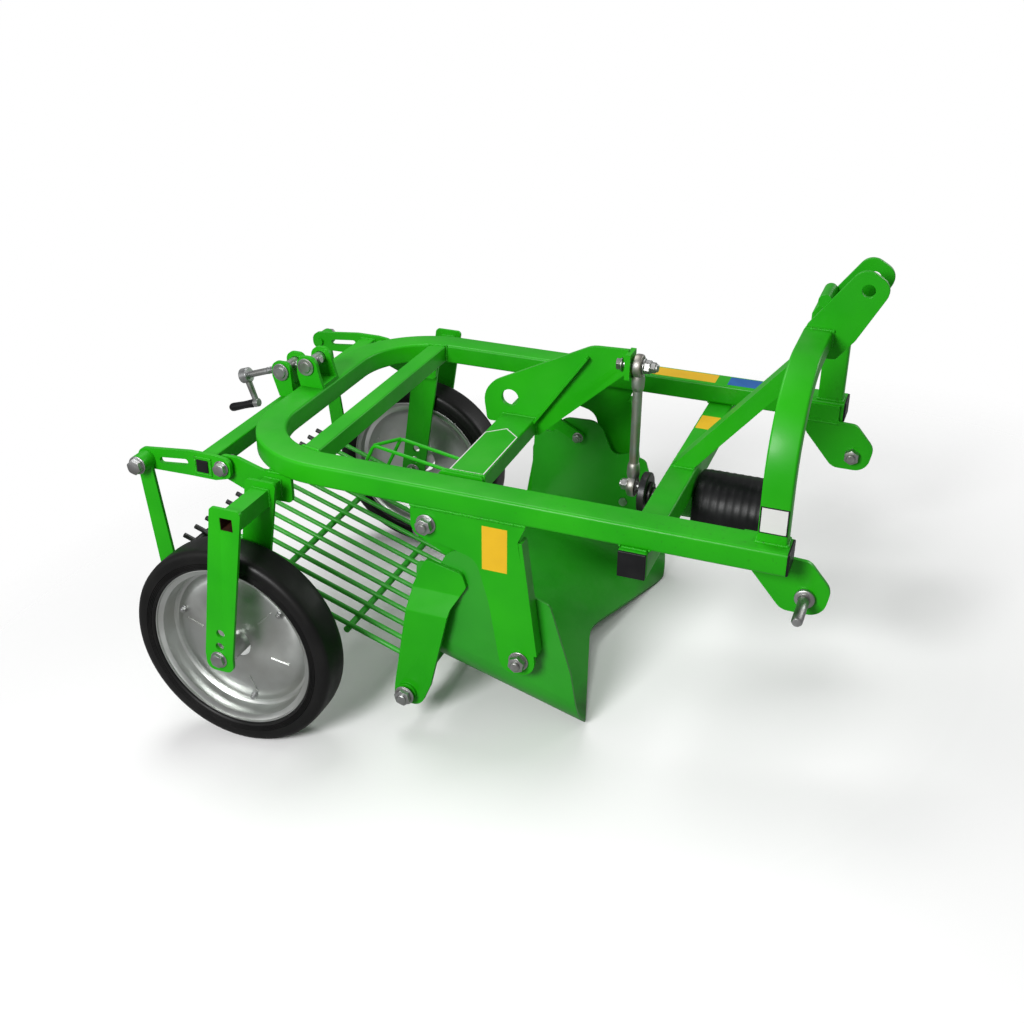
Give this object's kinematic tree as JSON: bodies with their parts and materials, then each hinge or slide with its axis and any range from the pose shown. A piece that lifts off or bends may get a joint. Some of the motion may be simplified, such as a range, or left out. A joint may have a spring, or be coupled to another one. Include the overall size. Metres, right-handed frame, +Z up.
{
  "type": "potato harvester",
  "caption": "Tractor-mounted single-row vibrating potato digger: looped tube frame, hitch mast, rocking share, bar sieve and two depth wheels.",
  "frame": {"origin": "middle of the ground footprint, on the ground under the parked machine", "axes": "+X forward to the tractor, +Y to the machine's left, +Z up"},
  "size_m": [1.6372, 1.174, 0.9312],
  "materials": {
    "paint": "gloss",
    "zinc": "zinc plated",
    "galvanised": "galvanised",
    "dark_steel": "oiled",
    "rubber": "smooth",
    "plastic": "satin"
  },
  "bodies": {
    "frame": {"main_frame": "paint", "rear_cross_tube": "paint", "front_cross_tube": "paint", "mast_leg_right": "paint", "mast_leg_left": "paint", "top_link_plate_right": "paint", "top_link_plate_left": "paint", "mast_spacer": "paint", "mast_brace": "paint", "hitch_plate_right": "paint", "hitch_plate_left": "paint", "hitch_pin_right": "zinc", "hitch_pin_left": "zinc", "front_leg_right": "paint", "front_leg_left": "paint", "share_pivot_pin_right": "zinc", "share_pivot_pin_left": "zinc", "rocker_pivot_pin_right": "zinc", "rocker_pivot_pin_left": "zinc", "fork_bracket_right": "paint", "fork_bracket_left": "paint", "wheel_fork_right": "paint", "wheel_fork_left": "paint", "wheel_axle_right": "zinc", "wheel_axle_left": "zinc", "lift_pivot_pin_right": "zinc", "lift_pivot_pin_left": "zinc", "spindle_lugs": "paint", "bearing_housing": "paint", "shaft_guard": "plastic"},
    "wheel_right": {"tyre_right": "rubber", "rim_right": "galvanised"},
    "wheel_left": {"tyre_left": "rubber", "rim_left": "galvanised"},
    "drive_shaft": {"input_shaft": "dark_steel"},
    "rocker": {"rocker_tube": "paint", "rocker_arm": "paint", "rocker_cheek_right": "paint", "rocker_cheek_left": "paint"},
    "rod": {"connecting_rod": "zinc"},
    "links": {"link_bar_right": "paint", "link_bar_left": "paint"},
    "share": {"share_shell": "paint", "share_strap_right": "paint", "share_strap_left": "paint"},
    "sieve": {"sieve_grid": "paint"},
    "lift": {"lift_tube": "paint", "lift_arm_right": "paint", "lift_arm_left": "paint", "lift_lugs": "paint", "lift_trunnion": "zinc"},
    "spindle": {"frame_trunnion": "zinc", "spindle_crank": "zinc", "crank_grip": "plastic"},
    "hangers": {"hanger_right": "paint", "hanger_left": "paint"}
  },
  "joints": [
    {"name": "wheel_right_spin", "type": "hinge", "parent": "frame", "child": "wheel_right", "pos_m": [-0.56744, -0.491, 0.24943], "axis": [0, 1, 0], "continuous": true},
    {"name": "wheel_left_spin", "type": "hinge", "parent": "frame", "child": "wheel_left", "pos_m": [-0.56744, 0.491, 0.24943], "axis": [0, 1, 0], "continuous": true},
    {"name": "drive_shaft_spin", "type": "hinge", "parent": "frame", "child": "drive_shaft", "pos_m": [0.25822, 0, 0.41464], "axis": [0.9879, 0, -0.1553], "continuous": true},
    {"name": "rocker_swing", "type": "hinge", "parent": "frame", "child": "rocker", "pos_m": [-0.08057, 0, 0.5262], "axis": [0, 1, 0], "range_deg": [0, 5.2]},
    {"name": "rod_swing", "type": "hinge", "parent": "rocker", "child": "rod", "pos_m": [0.2844, 0, 0.72291], "axis": [0, 1, 0], "range_deg": [-1.1, 0]},
    {"name": "links_swing", "type": "hinge", "parent": "rocker", "child": "links", "pos_m": [-0.13097, 0, 0.48249], "axis": [0, 1, 0], "range_deg": [0, 1.1]},
    {"name": "share_swing", "type": "hinge", "parent": "frame", "child": "share", "pos_m": [0.08056, 0, 0.20529], "axis": [0, 1, 0], "range_deg": [-4.2, 0]},
    {"name": "sieve_swing", "type": "hinge", "parent": "share", "child": "sieve", "pos_m": [-0.21054, 0, 0.09211], "axis": [0, 1, 0], "range_deg": [0, 6.3]},
    {"name": "lift_swing", "type": "hinge", "parent": "frame", "child": "lift", "pos_m": [-0.5671, 0, 0.63809], "axis": [0, 1, 0], "range_deg": [-3, 3]},
    {"name": "spindle_swing", "type": "hinge", "parent": "frame", "child": "spindle", "pos_m": [-0.5378, 0, 0.74079], "axis": [0, 1, 0], "range_deg": [-1.3, 1.3]},
    {"name": "hangers_swing", "type": "hinge", "parent": "lift", "child": "hangers", "pos_m": [-0.76456, 0, 0.65698], "axis": [0, 1, 0], "range_deg": [-4.3, 0]}
  ],
  "couplings": [
    {"joint": "rod_swing", "follows": "rocker_swing", "ratio": -0.1877},
    {"joint": "links_swing", "follows": "rocker_swing", "ratio": 0.1848},
    {"joint": "share_swing", "follows": "rocker_swing", "ratio": -0.7831},
    {"joint": "sieve_swing", "follows": "rocker_swing", "ratio": 1.1858},
    {"joint": "hangers_swing", "follows": "rocker_swing", "ratio": -0.8146},
    {"joint": "spindle_swing", "follows": "lift_swing", "ratio": 0.382}
  ]
}
